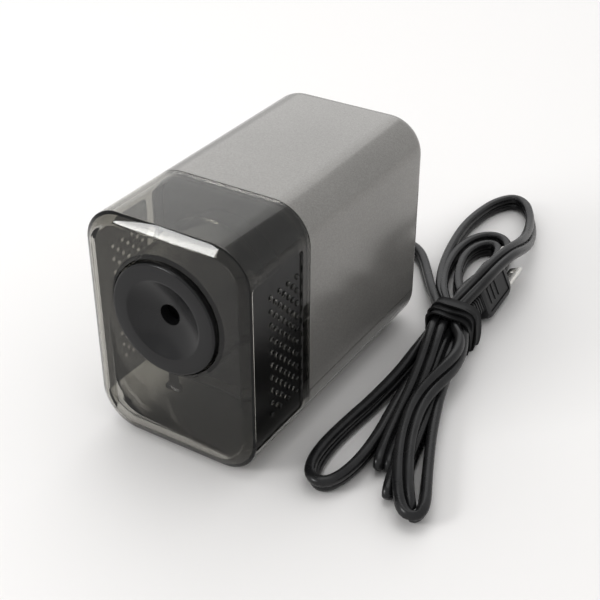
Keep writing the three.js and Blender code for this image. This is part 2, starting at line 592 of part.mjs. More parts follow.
const keyRib = box(-1.3, 1.3, FRONT + 1.5, FRONT + 5, PENCIL_HEIGHT - 33, PENCIL_HEIGHT - 25)
  .add(box(-3.2, 3.2, FRONT + 1.5, FRONT + 5, PENCIL_HEIGHT - 34.5, PENCIL_HEIGHT - 32.5));
let receptacle = capOuter.subtract(capInner).add(collar).add(tab.intersect(capOuter)).add(keyRib)
  .subtract(rod(0, PENCIL_HEIGHT, COLLAR_INNER, FRONT - 5, FAR, 48));
const GRIP_DEPTH = 0.8;
for (const side of [-1, 1]) {
  const inner = side * (WIDTH / 2 - GRIP_DEPTH);
  const outer = side * (WIDTH / 2 + 5);
  receptacle = receptacle.subtract(box(Math.min(inner, outer), Math.max(inner, outer),
    FRONT + 3.5, FRONT + 37, BASE + 13, BASE + 87));
}
add("receptacle", receptacle, smokedPlastic);

// ---- cord: strain relief, lead, hank held by a tie, plug ----
const RELIEF_END = BACK + 21.8;
add("strain_relief", turned([
  [0, BACK - 4.9], [7, BACK - 4.9], [7, BACK - WALL - GAP], [4.6, BACK - WALL - GAP],
  [4.6, BACK + GAP], [6.4, BACK + GAP], [6.4, BACK + 2], [5.8, BACK + 3.5], [4.9, RELIEF_END],
  [0, RELIEF_END],
], CORD_EXIT_X, CORD_EXIT_Z, 20), rubber);

// Route of the cord between the strain relief and the hank, chosen by hand.
const leadRoute = [
  [-16, 93.4, 18], [-16, 100, 16.8], [-14.2, 108, 12.6], [-9.5, 116, 8.4], [-2, 121.6, 5.4], [6, 123, 4.5],
  [14.4, 119.8, 4.4], [21.8, 111.6, 4.4], [28.8, 101.4, 4.6], [35.8, 91.4, 5.6], [39.3, 86.6, 6.4],
];
const leadCurve = new THREE.CatmullRomCurve3(leadRoute.map(([x, y, z]) => new THREE.Vector3(x, y, z)));
const leadSection = new THREE.Shape();
leadSection.absarc(0, 0, 3, 0, 2 * Math.PI);
add("cord_lead", toSolid(new THREE.ExtrudeGeometry(leadSection, {
  extrudePath: leadCurve, steps: 26, curveSegments: 4, bevelEnabled: false,
})), cordJacket);

// Outline of the folded cord, seen from above: loops at both ends and a waist at the tie.
const hankOutline = new THREE.Shape();
hankOutline.moveTo(53.4, 70);
hankOutline.lineTo(53.4, 50);
hankOutline.bezierCurveTo(53, 30, 50.8, 0, 51, -36);
hankOutline.bezierCurveTo(51, -58, 57, -63, 66, -61);
hankOutline.lineTo(98, -60.5);
hankOutline.bezierCurveTo(108, -60, 107, -50, 102.5, -40);
hankOutline.bezierCurveTo(92, -8, 80, 20, 78.6, 40);
hankOutline.lineTo(69.6, 52);
hankOutline.lineTo(69.6, 72);
hankOutline.bezierCurveTo(68, 100, 70, 135, 62, 165);
hankOutline.bezierCurveTo(56, 190, 46, 202.5, 36, 202.5);
hankOutline.bezierCurveTo(21, 200, 20, 178, 22, 155);
hankOutline.bezierCurveTo(24, 130, 33, 108, 41, 92);
const HANK_LOW = 1.3;
const HANK_HIGH = 17;
const hankGeometry = new THREE.ExtrudeGeometry(hankOutline, {
  depth: HANK_HIGH - HANK_LOW, bevelEnabled: false, curveSegments: 10,
});
hankGeometry.translate(0, 0, HANK_LOW);
// Side view of the hank as [y, z]: eight strands deep at the tie, one strand deep at its ends.
const hankSide = new THREE.Shape([
  [-70, HANK_LOW - 1], [210, HANK_LOW - 1], [210, 9], [150, 10], [110, 14], [84, HANK_HIGH + 1],
  [40, HANK_HIGH + 1], [8, 15], [-38, 12.5], [-70, 9],
].map(([y, z]) => new THREE.Vector2(y, z)));
const sideGeometry = new THREE.ExtrudeGeometry(hankSide, { depth: 2 * WIDTH, bevelEnabled: false });
sideGeometry.applyMatrix4(new THREE.Matrix4().makeBasis(
  new THREE.Vector3(0, 1, 0), new THREE.Vector3(0, 0, 1), new THREE.Vector3(1, 0, 0)));

// The plug leans on the hank, its cable end towards the tie.
function atPlug(solid) {
  return solid.rotate([0, -25, 0]).rotate([0, 0, 3]).translate([68, 75, 1.1]);
}
const PLUG_HEIGHT = 20;
const PLUG_HALF = 4.4;
const NECK = 9;
const PLUG_LENGTH = 40;
const plugMiddle = PLUG_HEIGHT / 2;
const plugRoom = atPlug(box(-PLUG_HALF - GAP, 30, -GAP, PLUG_LENGTH + 18, -5, 40));
add("cord_hank", toSolid(hankGeometry).intersect(toSolid(sideGeometry)).subtract(plugRoom), cordJacket);

const TIE_FRONT = 57.3;
const TIE_BACK = 63.7;
const tieHole = box(53.1, 69.9, TIE_FRONT - 1, TIE_BACK + 1, HANK_LOW - GAP, HANK_HIGH + GAP);
add("cord_tie", box(52.3, 70.7, TIE_FRONT, TIE_BACK, 0, HANK_HIGH + 1.3).subtract(tieHole), rubber);

const plugOutline = roundedPlate(-PLUG_HALF, PLUG_HALF, 0.1, PLUG_HEIGHT, 2.4);
const neckOutline = roundedPlate(-3.4, 3.4, plugMiddle - 4.5, plugMiddle + 4.5, 2);
const plugSolid = slab(plugOutline, NECK, PLUG_LENGTH, 4).add(slab(neckOutline, 0, NECK + 1, 4));
add("plug_body", atPlug(plugSolid), rubber);
const BLADE_SPACING = 12.7;
const BLADE_LENGTH = 17;
for (const [name, side] of [["plug_blade_lower", -1], ["plug_blade_upper", 1]]) {
  const z = plugMiddle + side * BLADE_SPACING / 2;
  add(name, atPlug(box(-3.15, 3.15, PLUG_LENGTH + GAP, PLUG_LENGTH + BLADE_LENGTH, z - 0.75, z + 0.75)
    .subtract(post(0, PLUG_LENGTH + 13, 1.6, z - 2, z + 2, 16))), steel);
}

export default assembly;
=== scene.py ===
# Electric pencil sharpener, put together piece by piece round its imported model.
# Everything is in metres. +Z is up, the front faces -Y, and the floor is z = 0.
import math

import bpy
import bmesh
from mathutils import Matrix, Vector


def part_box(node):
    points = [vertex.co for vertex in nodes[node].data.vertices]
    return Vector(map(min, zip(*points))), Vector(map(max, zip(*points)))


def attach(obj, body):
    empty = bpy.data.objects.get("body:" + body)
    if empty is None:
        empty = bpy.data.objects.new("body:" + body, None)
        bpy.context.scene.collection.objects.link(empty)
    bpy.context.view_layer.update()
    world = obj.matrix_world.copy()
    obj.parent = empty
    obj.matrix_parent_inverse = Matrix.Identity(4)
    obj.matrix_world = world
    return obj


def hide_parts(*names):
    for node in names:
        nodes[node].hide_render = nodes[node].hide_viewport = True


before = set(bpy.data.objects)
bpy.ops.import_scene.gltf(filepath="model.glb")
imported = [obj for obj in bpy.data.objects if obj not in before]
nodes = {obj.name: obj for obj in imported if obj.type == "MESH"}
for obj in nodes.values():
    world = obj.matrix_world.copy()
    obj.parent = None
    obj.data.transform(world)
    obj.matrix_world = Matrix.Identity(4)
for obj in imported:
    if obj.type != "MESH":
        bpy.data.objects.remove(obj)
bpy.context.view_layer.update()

# ---- Studio ----
# A pale paper floor under an even white sky, with soft lights overhead, behind on the left and in
# front on the left; the camera stands right of the front and looks down.
mm = 0.001
scene = bpy.context.scene
scene.view_settings.view_transform = "Standard"
scene.view_settings.gamma = 0.8


def add_piece(name, mesh, smooth=True):
    """Puts a finished mesh in the scene under its own name."""
    piece = bpy.data.objects.new(name, mesh)
    scene.collection.objects.link(piece)
    for polygon in mesh.polygons:
        polygon.use_smooth = smooth
    return piece


def new_finish(name):
    """A fresh node material, with its tree and its shader to set up."""
    material = bpy.data.materials.new(name)
    material.use_nodes = True
    return material, material.node_tree, material.node_tree.nodes["Principled BSDF"]


camera_target = Vector((21.31, -9.0, 52.26)) * mm
camera_distance = 478.8 * mm
azimuth = math.radians(31.98)
elevation = math.radians(32.56)
camera_data = bpy.data.cameras.new("camera")
camera_data.lens = 69.66
camera_data.sensor_width = 36
camera_data.shift_x = 0.0041
camera_data.shift_y = -0.0120
camera_data.clip_start = 0.01
camera = bpy.data.objects.new("camera", camera_data)
scene.collection.objects.link(camera)
towards_camera = Vector((
    math.cos(elevation) * math.sin(azimuth), -math.cos(elevation) * math.cos(azimuth), math.sin(elevation)))
camera.location = camera_target + camera_distance * towards_camera
camera.rotation_euler = (math.pi / 2 - elevation, 0, azimuth)
scene.camera = camera

floor_mesh = bpy.data.meshes.new("floor")
reach = 6.0
floor_mesh.from_pydata(
    [(-reach, -reach, 0), (reach, -reach, 0), (reach, reach, 0), (-reach, reach, 0)], [], [(0, 1, 2, 3)])
floor = add_piece("floor", floor_mesh, smooth=False)
floor_paper, tree, shader = new_finish("floor_paper")
shader.inputs["Roughness"].default_value = 0.55
shader.inputs["Specular IOR Level"].default_value = 0.25
mottle = tree.nodes.new("ShaderNodeTexNoise")
mottle.inputs["Scale"].default_value = 9
tint = tree.nodes.new("ShaderNodeValToRGB")
tint.color_ramp.elements[0].color = (0.80, 0.785, 0.775, 1)
tint.color_ramp.elements[1].color = (0.86, 0.855, 0.85, 1)
tree.links.new(mottle.outputs["Fac"], tint.inputs["Fac"])
tree.links.new(tint.outputs["Color"], shader.inputs["Base Color"])
floor_mesh.materials.append(floor_paper)

world = bpy.data.worlds.new("studio")
scene.world = world
world.use_nodes = True
world.node_tree.nodes["Background"].inputs["Color"].default_value = (1.0, 1.0, 1.0, 1)
world.node_tree.nodes["Background"].inputs["Strength"].default_value = 0.86


def add_light(name, place, aim, width, height, power):
    """A soft rectangular light that shines at a point, in metres and watts."""
    data = bpy.data.lights.new(name, "AREA")
    data.shape = "RECTANGLE"
    data.size = width
    data.size_y = height
    data.energy = power
    light = bpy.data.objects.new(name, data)
    light.location = place
    light.rotation_euler = (Vector(aim) - Vector(place)).to_track_quat("-Z", "Y").to_euler()
    scene.collection.objects.link(light)


add_light("overhead", (-0.15, 0.1, 1.4), (0, 0, 0.05), 0.9, 0.9, 3.2)
add_light("back_softbox", (-0.67, 1.05, 0.86), (0, 0, 0.08), 1.3, 0.85, 3.0)
add_light("front_strip", (-0.62, -1.05, 0.70), (0, -0.07, 0.1), 0.42, 0.34, 5.8)

# ---- Housing: upper shell and base tray ----
# Two mouldings in one outline, sprayed with a warm silver satin metallic paint. They meet in a fine
# joint low on the sides, and four screws come up through the tray into bosses in the shell.
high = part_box("rear_housing")[1]
tray_low, tray_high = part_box("base_tray")
half_width = high.x
crown = high.z
underside = tray_low.z
back = high.y
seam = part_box("receptacle")[1].y
housing_front = seam + 0.3 * mm
joint_gap = 0.15 * mm
split = tray_high.z + joint_gap
corner = 16.3 * mm
rear_edge = 7 * mm
wall = 2.4 * mm
spigot_outer = 2.55 * mm
spigot_inner = 4.35 * mm
spigot_tip = seam - 3 * mm
spigot_root = seam + 6 * mm


def outline(inset, low_inset=None, steps=12):
    """The body's rounded outline in X and Z, at one depth under the outer skin."""
    half = half_width - inset
    bottom = underside + (inset if low_inset is None else low_inset)
    top = crown - inset
    radius = corner - inset
    centres = [(half - radius, top - radius, 0), (radius - half, top - radius, 90),
               (radius - half, bottom + radius, 180), (half - radius, bottom + radius, 270)]
    points = []
    for x, z, start in centres:
        for step in range(steps + 1):
            angle = math.radians(start + 90 * step / steps)
            points.append((x + radius * math.cos(angle), z + radius * math.sin(angle)))
    return points


def loft(name, stations, steps=12):
    """A closed body through outlines at (y, inset) or (y, inset, low_inset), capped at both ends."""
    mesh = bpy.data.meshes.new(name)
    verts, faces = [], []
    for y, *insets in stations:
        verts += [(x, y, z) for x, z in outline(*insets, steps=steps)]
    count = 4 * (steps + 1)
    for ring in range(len(stations) - 1):
        for i in range(count):
            a, b = ring * count + i, ring * count + (i + 1) % count
            faces.append((a, b, b + count, a + count))
    faces.append(tuple(range(count))[::-1])
    faces.append(tuple(range((len(stations) - 1) * count, len(stations) * count)))
    mesh.from_pydata(verts, [], faces)
    tidy_up(mesh)
    return add_piece(name, mesh)


def tidy_up(mesh):
    """Merges doubled points and turns all faces outwards."""
    work = bmesh.new()
    work.from_mesh(mesh)
    bmesh.ops.remove_doubles(work, verts=work.verts, dist=1e-7)
    bmesh.ops.recalc_face_normals(work, faces=work.faces)
    work.to_mesh(mesh)
    work.free()


def apply_modifiers(piece):
    """Turns the piece's modifiers into its real mesh."""
    shown = piece.evaluated_get(bpy.context.evaluated_depsgraph_get())
    mesh = bpy.data.meshes.new_from_object(shown)
    piece.modifiers.clear()
    old = piece.data
    piece.data = mesh
    mesh.name = piece.name
    bpy.data.meshes.remove(old)


def join_or_cut(piece, tool, operation="DIFFERENCE"):
    """Cuts the tool out of the piece, or joins it on, and throws the tool away."""
    cut = piece.modifiers.new("cut", "BOOLEAN")
    cut.operation = operation
    cut.object = tool
    cut.solver = "EXACT"
    apply_modifiers(piece)
    mesh = tool.data
    bpy.data.objects.remove(tool)
    bpy.data.meshes.remove(mesh)


def sharpen(piece, angle=32):
    """Smooth shading, with crisp edges where the faces turn by more than this."""
    piece.data.shade_smooth()
    piece.data.set_sharp_from_angle(angle=math.radians(angle))


def block(name, lowest, highest):
    """A rectangular solid between two corners, as a cutting tool or a rib."""
    work = bmesh.new()
    bmesh.ops.create_cube(work, size=1)
    for vert in work.verts:
        for axis in range(3):
            vert.co[axis] = highest[axis] if vert.co[axis] > 0 else lowest[axis]
    mesh = bpy.data.meshes.new(name)
    work.to_mesh(mesh)
    work.free()
    return add_piece(name, mesh, smooth=False)


def turned(name, profile, centre, along="y", sides=96):
    """A closed profile of (radius, distance) points turned about an axis along Y or Z."""
    mesh = bpy.data.meshes.new(name)
    verts, faces = [], []
    count = len(profile)
    for side in range(sides):
        angle = 2 * math.pi * side / sides
        for radius, distance in profile:
            u, v = radius * math.cos(angle), radius * math.sin(angle)
            spot = (u, distance, v) if along == "y" else (u, v, distance)
            verts.append(tuple(spot[axis] + centre[axis] for axis in range(3)))
    for side in range(sides):
        for i in range(count):
            a, b = side * count + i, side * count + (i + 1) % count
            c, d = (a + count) % len(verts), (b + count) % len(verts)
            faces.append((a, b, d, c))
    mesh.from_pydata(verts, [], faces)
    work = bmesh.new()
    work.from_mesh(mesh)
    bmesh.ops.remove_doubles(work, verts=work.verts, dist=1e-7)
    bmesh.ops.dissolve_degenerate(work, dist=1e-7, edges=work.edges)
    bmesh.ops.recalc_face_normals(work, faces=work.faces)
    work.to_mesh(mesh)
    work.free()
    return add_piece(name, mesh)


def rod(name, radius, start, end, centre, along="y", sides=64):
    """A plain round bar, for drilling and for bosses."""
    return turned(name, [(0, start), (radius, start), (radius, end), (0, end)], centre, along, sides)


def rear_round(radius, steps):
    """The rounded edge round the back wall, as stations from the sides to the back."""
    places = []
    for step in range(steps + 1):
        angle = math.pi / 2 * step / steps
        places.append((back - rear_edge + radius * math.sin(angle), rear_edge - radius * math.cos(angle)))
    return places


stations = rear_round(rear_edge - wall, 8)[::-1]
stations += [
    (spigot_root, wall), (spigot_root, spigot_inner), (spigot_tip, spigot_inner),
    (spigot_tip, spigot_outer + 0.25 * mm), (spigot_tip + 0.25 * mm, spigot_outer),
    (housing_front, spigot_outer), (housing_front, 0.2 * mm), (housing_front + 0.06 * mm, 0.06 * mm),
    (housing_front + 0.2 * mm, 0), (housing_front + 0.3 * mm, 0), (housing_front + 2 * mm, 0),
    (back - rear_edge - 2 * mm, 0),
]
stations += rear_round(rear_edge, 12)


def half_shell(name, keep_top):
    """The full shell, cut away below or above the joint."""
    shell = loft(name, stations, steps=16)
    away = 300 * mm
    if keep_top:
        tool = block("away", (-away, -away, -away), (away, away, split + joint_gap))
    else:
        tool = block("away", (-away, -away, split - joint_gap), (away, away, away))
    join_or_cut(shell, tool)
    return shell


upper = half_shell("housing_shell", True)
tray = half_shell("housing_tray", False)
boss_x = 25 * mm
boss_foot = split + joint_gap
pillar_foot, pillar_top = underside + 0.5 * mm, split - joint_gap
for x, y in [(side * boss_x, y) for y in (seam + 9.6 * mm, back - 9 * mm) for side in (-1, 1)]:
    spot = (x, y, 0)
    join_or_cut(upper, rod("boss", 3.4 * mm, boss_foot, split + 22 * mm, spot, "z", 32), "UNION")
    join_or_cut(upper, rod("pilot", 1.8 * mm, split - mm, split + 16 * mm, spot, "z", 24))
    join_or_cut(tray, rod("pillar", 4.2 * mm, pillar_foot, pillar_top, spot, "z", 32), "UNION")
    join_or_cut(tray, rod("hole", 2 * mm, -mm, split + mm, spot, "z", 24))
    join_or_cut(tray, rod("counterbore", 3.3 * mm, -mm, split - 8 * mm, spot, "z", 32))
for name in ("foot_front_left", "foot_front_right", "foot_rear_left", "foot_rear_right"):
    foot_low, foot_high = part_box(name)
    middle = (foot_low + foot_high) / 2
    join_or_cut(tray, rod("seat", 5.6 * mm, -mm, underside + mm, (middle.x, middle.y, 0), "z", 40))
for y in (seam + 30 * mm, seam + 38 * mm, seam + 46 * mm):
    join_or_cut(tray, block("slot", (-12 * mm, y, underside - mm), (12 * mm, y + 3 * mm, underside + 5 * mm)))
relief_low, relief_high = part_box("strain_relief")
relief_x = (relief_low.x + relief_high.x) / 2
relief_z = (relief_low.z + relief_high.z) / 2
for shell in (upper, tray):
    join_or_cut(shell, rod("cord_hole", 5 * mm, back - 10 * mm, back + 10 * mm, (relief_x, 0, relief_z)))


def texture_on(tree, kind, scale, **settings):
    """A procedural texture laid on the piece's own coordinates."""
    spot = tree.nodes.new("ShaderNodeTexCoord")
    texture = tree.nodes.new(kind)
    texture.inputs["Scale"].default_value = scale
    for socket, value in settings.items():
        texture.inputs[socket].default_value = value
    tree.links.new(spot.outputs["Object"], texture.inputs["Vector"])
    return texture


def tint_between(tree, source, target, dark, light, start=0.0, end=1.0):
    """Turns a texture's value into a colour between two tones."""
    tone = tree.nodes.new("ShaderNodeValToRGB")
    for element, position, colour in zip(tone.color_ramp.elements, (start, end), (dark, light)):
        element.position = position
        element.color = (*colour, 1)
    tree.links.new(source, tone.inputs["Fac"])
    tree.links.new(tone.outputs["Color"], target)


def roughen(tree, shader, source, smoothest, roughest):
    """Varies the shader's roughness by a texture's value."""
    rough = tree.nodes.new("ShaderNodeMapRange")
    rough.inputs["To Min"].default_value = smoothest
    rough.inputs["To Max"].default_value = roughest
    tree.links.new(source, rough.inputs["Value"])
    tree.links.new(rough.outputs["Result"], shader.inputs["Roughness"])


def emboss(tree, shader, source, strength, distance):
    """Raises the surface by a texture's value."""
    bump = tree.nodes.new("ShaderNodeBump")
    bump.inputs["Strength"].default_value = strength
    bump.inputs["Distance"].default_value = distance
    tree.links.new(source, bump.inputs["Height"])
    tree.links.new(bump.outputs["Normal"], shader.inputs["Normal"])


def moulded_finish(name, colour, roughness, grain=1500, depth=0.04, spread=0.25, metal=0.0):
    """A moulded or machined surface: slight mottling of the colour and a fine grain."""
    material, tree, shader = new_finish(name)
    cloud = texture_on(tree, "ShaderNodeTexNoise", 60, Detail=5).outputs["Fac"]
    fine = texture_on(tree, "ShaderNodeTexNoise", grain).outputs["Fac"]
    dark = [part * (1 - spread) for part in colour]
    light = [min(1, part * (1 + spread)) for part in colour]
    tint_between(tree, cloud, shader.inputs["Base Color"], dark, light, 0.3, 0.7)
    roughen(tree, shader, cloud, max(0.03, roughness - 0.06), min(1.0, roughness + 0.06))
    emboss(tree, shader, fine, depth, 0.3 * mm)
    shader.inputs["Metallic"].default_value = metal
    return material


def paint_finish():
    """Warm silver metallic paint: fine flake, faint cloudiness and a soft orange peel under a satin coat."""
    material, tree, shader = new_finish("silver_paint")
    flake = texture_on(tree, "ShaderNodeTexVoronoi", 2600).outputs["Color"]
    cloud = texture_on(tree, "ShaderNodeTexNoise", 18, Detail=4).outputs["Fac"]
    peel = texture_on(tree, "ShaderNodeTexNoise", 900).outputs["Fac"]
    mix = tree.nodes.new("ShaderNodeMix")
    mix.data_type = "RGBA"
    mix.blend_type = "MULTIPLY"
    mix.inputs["Factor"].default_value = 0.25
    tint_between(tree, flake, mix.inputs["A"], (0.27, 0.263, 0.25), (0.345, 0.338, 0.324))
    tree.links.new(cloud, mix.inputs["B"])
    tree.links.new(mix.outputs["Result"], shader.inputs["Base Color"])
    roughen(tree, shader, cloud, 0.17, 0.23)
    emboss(tree, shader, peel, 0.05, 0.2 * mm)
    shader.inputs["Metallic"].default_value = 0.25
    shader.inputs["Coat Weight"].default_value = 0.15
    shader.inputs["Coat Roughness"].default_value = 0.22
    return material


silver_paint = paint_finish()
bare_moulding_seam_shade = moulded_finish("bare_moulding_seam_shade", (0.05, 0.05, 0.05), 0.5)
for piece, node in ((upper, "rear_housing"), (tray, "base_tray")):
    sharpen(piece, 28)
    piece.data.materials.append(silver_paint)
    piece.data.materials.append(bare_moulding_seam_shade)
    # The front ring face and the spigot get near-black bare moulding. This is partly unpainted plastic inside
    # the paint line, and partly painted shade that keeps the joint with the receptacle dark.
    for polygon in piece.data.polygons:
        if polygon.center.y < housing_front + 0.02 * mm:
            polygon.material_index = 1
    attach(piece, "housing")
    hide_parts(node)


def dress(names, material):
    """Gives CAD nodes that stay as they are their real finish."""
    for name in names:
        mesh = nodes[name].data
        mesh.materials.clear()
        mesh.materials.append(material)


rubber = moulded_finish("rubber", (0.022, 0.022, 0.022), 0.75, grain=700, depth=0.12)
steel = moulded_finish("steel", (0.60, 0.60, 0.61), 0.28, grain=2500, depth=0.03, spread=0.06, metal=1.0)
for name in ("foot_front_left", "foot_front_right", "foot_rear_left", "foot_rear_right"):
    foot_low, foot_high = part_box(name)
    middle = (foot_low + foot_high) / 2
    wide = (foot_high.x - foot_low.x) / 2
    tall = foot_high.z
    profile = [(0, 0.15 * mm), (wide - 1.6 * mm, 0.15 * mm), (wide - 1.4 * mm, 0), (wide - 0.9 * mm, 0),
               (wide - 0.55 * mm, 0.25 * mm), (wide, tall - 0.9 * mm), (wide, tall), (0, tall)]
    foot = turned(name + "_button", profile, (middle.x, middle.y, 0), "z", 48)
    sharpen(foot, 50)
    foot.data.materials.append(rubber)
    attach(foot, "housing")
    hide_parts(name)
dress([f"base_screw_{number}" for number in (1, 2, 3, 4)], steel)

# ---- Front frame and ring gear ----
# A black moulded bulkhead that closes the housing, with the round cutter tube standing forward from
# it; a window under the tube lets the shavings drop. The ring gear is pressed into the tube's mouth.
black_plastic = moulded_finish("black_plastic", (0.016, 0.016, 0.017), 0.34, grain=1200, depth=0.05)
nylon = moulded_finish("nylon", (0.74, 0.71, 0.62), 0.45, grain=900, depth=0.04, spread=0.05)
frame_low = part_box("front_frame")[0]
guide_low, guide_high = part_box("pencil_guide")
pencil_height = (guide_low.z + guide_high.z) / 2
plate_front = seam + 1.6 * mm
plate_back = plate_front + 2.5 * mm
plate_inset = spigot_inner + 0.3 * mm
tube_outer = 24 * mm
tube_inner = 21.6 * mm
axis = (0, 0, pencil_height)
bulkhead = loft("front_bulkhead", [(plate_front, plate_inset), (plate_back, plate_inset)], steps=12)
join_or_cut(bulkhead, rod("drum", tube_outer, frame_low.y, plate_front + mm, axis, sides=128), "UNION")
join_or_cut(bulkhead, rod("bore", tube_inner, frame_low.y - mm, plate_front, axis, sides=128))
join_or_cut(bulkhead, rod("hub", 10 * mm, plate_front + mm, plate_back + 1.5 * mm, axis), "UNION")
join_or_cut(bulkhead, rod("bearing", 7.3 * mm, frame_low.y, plate_back + 5 * mm, axis))
window_half = 14 * mm
window_top = pencil_height - 14 * mm
join_or_cut(bulkhead, block("window", (-window_half, frame_low.y + 10.8 * mm, window_top - 16 * mm),
                            (window_half, plate_front - 4 * mm, window_top)))
interlock_low, interlock_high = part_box("interlock_plunger")
interlock_axis = ((interlock_low.x + interlock_high.x) / 2, 0, (interlock_low.z + interlock_high.z) / 2)
join_or_cut(bulkhead, rod("eye", 2.2 * mm, plate_front - mm, plate_back + mm, interlock_axis, sides=32))
pin_low, pin_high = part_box("idler_pin")
pin_axis = ((pin_low.x + pin_high.x) / 2, 0, (pin_low.z + pin_high.z) / 2)
join_or_cut(bulkhead, rod("pin_seat", 1.9 * mm, plate_back - 1.5 * mm, plate_back + mm, pin_axis, sides=32))
sharpen(bulkhead, 30)
bulkhead.data.materials.append(black_plastic)
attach(bulkhead, "housing")
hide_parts("front_frame")
dress(["ring_gear"], nylon)

# ---- Cutter ----
# A zinc spool turns about the pencil with a helical milling cutter lying along the pencil's cone; the
# cutter's pinion runs round inside the ring gear, so the cutter spins as the spool turns.
die_cast = moulded_finish("die_cast", (0.42, 0.42, 0.43), 0.42, grain=800, depth=0.08, spread=0.12, metal=0.9)
bronze = moulded_finish("bronze", (0.50, 0.36, 0.17), 0.4, grain=1500, depth=0.05, spread=0.12, metal=0.95)
dress(["cutter_carrier"], die_cast)
dress(["helical_cutter", "cutter_pinion", "cutter_axle", "carrier_clip"], steel)
dress(["carrier_bush"], bronze)

# ---- Gear train ----
# Moulded nylon gears on a fixed steel pin between the bulkhead and a pressed steel plate, which
# three turned brass pillars hold off the bulkhead.
dress(["drive_gear", "idler_gear"], nylon)
dress(["idler_pin", "motor_pinion", "gear_plate"], steel)
dress(["frame_pillar_1", "frame_pillar_2", "frame_pillar_3"], bronze)

# ---- Motor ----
# A shaded-pole motor: riveted laminations, one taped coil with its thermal cut-out, die-cast
# bridges with sintered bushes, and a moulded fan on the end of the shaft.


def banded_finish(name, bands, direction, dark, light, metal, roughness, depth, wobble=0.0):
    """A surface of fine parallel bands: stacked sheets or wound wire."""
    material, tree, shader = new_finish(name)
    wave = texture_on(tree, "ShaderNodeTexWave", bands, Distortion=wobble)
    wave.bands_direction = direction
    tint_between(tree, wave.outputs["Fac"], shader.inputs["Base Color"], dark, light)
    emboss(tree, shader, wave.outputs["Fac"], depth, 0.2 * mm)
    shader.inputs["Metallic"].default_value = metal
    shader.inputs["Roughness"].default_value = roughness
    return material


lamination = banded_finish("lamination", 320, "Y", (0.10, 0.105, 0.115), (0.26, 0.265, 0.28), 0.8, 0.45, 0.3)
copper_wire = banded_finish("copper_wire", 420, "Z", (0.22, 0.07, 0.02), (0.72, 0.30, 0.11), 0.85, 0.35, 0.5,
                            wobble=0.6)
dress(["motor_stator", "motor_rotor"], lamination)
dress(["motor_coil"], copper_wire)
dress(["motor_front_bridge", "motor_rear_bridge"], die_cast)
dress(["motor_front_bush", "motor_rear_bush", "motor_spacer_1", "motor_spacer_2"], bronze)
dress(["motor_shaft", "motor_screw_1", "motor_screw_2"], steel)
dress(["motor_fan", "thermal_cutout"], black_plastic)

# ---- Start switch and interlock ----
# The pencil's point pushes the nylon plunger against a spring lever and a snap switch; a second
# plunger and switch feel that the receptacle is on.
dress(["start_plunger", "interlock_plunger"], nylon)
dress(["start_lever"], steel)
dress(["start_switch", "interlock_switch"], black_plastic)

# ---- Pencil guide ----
# A satin black moulded disc snapped over the cutter tube's mouth. Its dish leads the pencil
# into the round hole.
guide_gloss = moulded_finish("guide_black", (0.0125, 0.0125, 0.0135), 0.22, grain=1000, depth=0.03)
face = guide_low.y
guide_radius = (guide_high.x - guide_low.x) / 2
dish_radius = 17.1 * mm
hole_radius = 4.4 * mm
dish_depth = 4.7 * mm
dish = []
for step in range(17):
    share = step / 16
    radius = hole_radius + 0.35 * mm + (dish_radius - 0.6 * mm - hole_radius) * share
    depth = dish_depth * (1 - share) * (1 + 0.42 * share)
    dish.append((radius, face + depth + 0.15 * mm))
lip = [(dish_radius, face + 0.05 * mm), (dish_radius + 0.4 * mm, face), (guide_radius - 1.0 * mm, face)]
for step in range(1, 7):
    angle = math.pi / 2 * step / 6
    lip.append((guide_radius - mm + mm * math.sin(angle), face + mm - mm * math.cos(angle)))
tube_front = frame_low.y
gap = 0.3 * mm
snap = [
    (guide_radius, tube_front - gap), (tube_inner - gap, tube_front - gap),
    (tube_inner - gap, tube_front + 2 * mm), (tube_inner - 2 * mm, tube_front + 2 * mm),
    (tube_inner - 2 * mm, tube_front - mm),
    (7 * mm, tube_front + 0.8 * mm), (7 * mm, tube_front + 3.2 * mm), (hole_radius, tube_front + 3.2 * mm),
    (hole_radius, face + dish_depth + 0.5 * mm), (hole_radius + 0.1 * mm, face + dish_depth + 0.25 * mm),
]
guide = turned("pencil_guide_disc", dish + lip + snap, axis, sides=160)
sharpen(guide, 40)
guide.data.materials.append(guide_gloss)
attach(guide, "housing")
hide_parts("pencil_guide")

# ---- Shavings receptacle ----
# One polished smoked moulding with a bevelled face, a collar round the cutter tube, and on each side
# a flat recess filled with rows of raised dots for the fingers. It slides forward off the housing.
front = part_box("receptacle")[0].y
cap_wall = 2.2 * mm
bevel_depth = 2.7 * mm
bevel_inset = 4.1 * mm
bevel_bottom = 5.7 * mm
ease = 0.15 * mm
inner_bevel = bevel_inset + 1.2 * mm
inner_bottom = bevel_bottom + 1.2 * mm
cap_stations = [
    (front + cap_wall, inner_bevel, inner_bottom),
    (front + bevel_depth + 1.4 * mm, cap_wall, cap_wall),
    (seam, cap_wall, cap_wall), (seam, ease, ease), (seam - 0.05 * mm, 0.05 * mm, 0.05 * mm),
    (seam - ease, 0, 0), (seam - ease - 0.1 * mm, 0, 0),
    (front + bevel_depth + 0.65 * mm, 0, 0), (front + bevel_depth + 0.45 * mm, 0, 0),
    (front + bevel_depth + 0.1 * mm, 0.12 * mm, 0.16 * mm),
    (front + bevel_depth - 0.25 * mm, 0.55 * mm, 0.75 * mm),
    (front + 0.22 * mm, bevel_inset - 0.5 * mm, bevel_bottom - 0.7 * mm),
    (front + 0.05 * mm, bevel_inset - 0.12 * mm, bevel_bottom - 0.16 * mm),
    (front, bevel_inset + 0.35 * mm, bevel_bottom + 0.5 * mm),
    (front, bevel_inset + 0.6 * mm, bevel_bottom + 0.75 * mm),
]
cap = loft("shavings_receptacle", cap_stations, steps=16)
collar_inner = 24.5 * mm
collar_outer = 26.4 * mm
collar_back = front + 32 * mm
collar = rod("collar", collar_outer, front + mm, collar_back, axis, sides=128)
